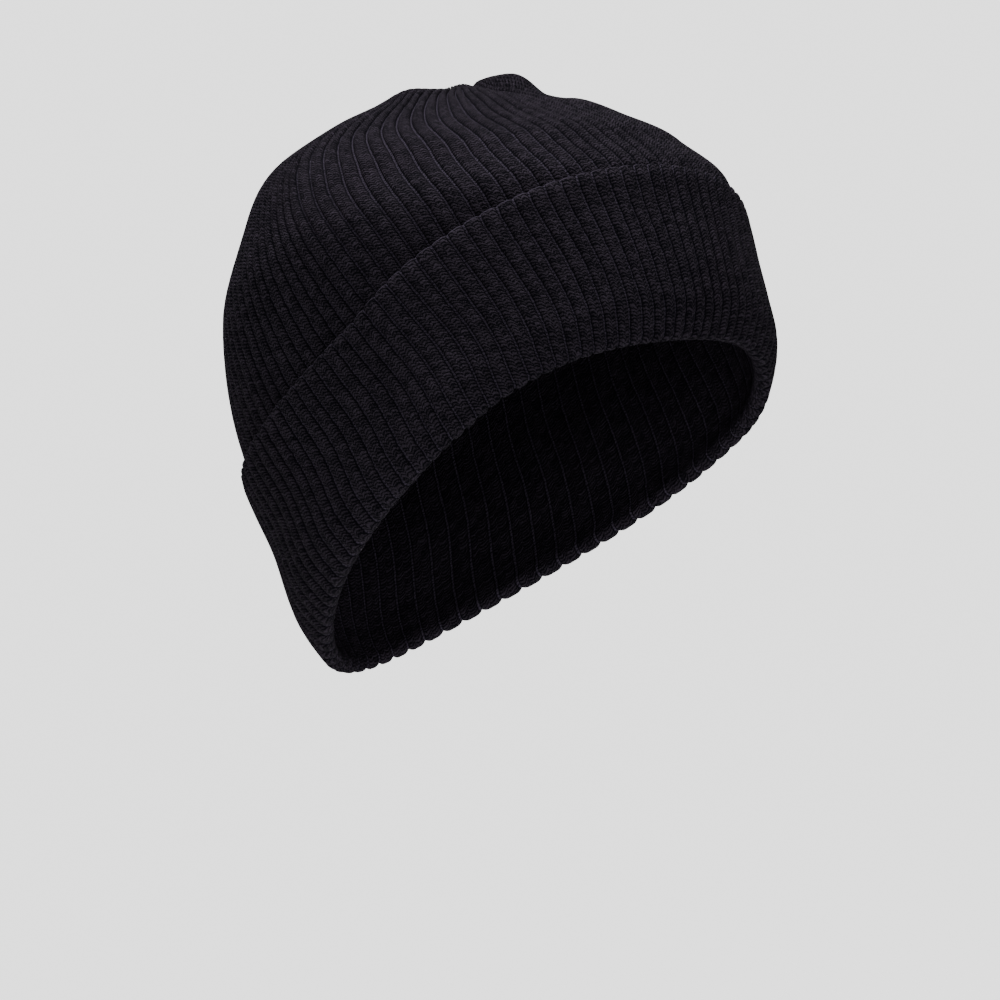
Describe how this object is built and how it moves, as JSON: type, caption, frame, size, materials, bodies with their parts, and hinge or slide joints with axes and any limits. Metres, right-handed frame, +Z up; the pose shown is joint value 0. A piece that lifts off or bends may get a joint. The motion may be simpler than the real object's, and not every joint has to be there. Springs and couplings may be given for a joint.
{
  "type": "watch cap",
  "caption": "Black ribbed knit watch cap with a deep turned-up cuff and a crown closed by two crossing seams, in the stretched, tipped-back form that it has when worn",
  "frame": {"origin": "centre of the head opening, between brow and nape on the rim", "axes": "+Z up as worn, -Y towards the brow, +X towards the wearer's left"},
  "size_m": [0.1898, 0.2113, 0.2113],
  "materials": {
    "black_rib_knit": "matte ribbed knit, near black",
    "black_sewing_thread": "matte sewing thread, black"
  },
  "bodies": {
    "root": {"knit_cap": "black_rib_knit", "crown_seam": "black_sewing_thread"}
  },
  "joints": []
}
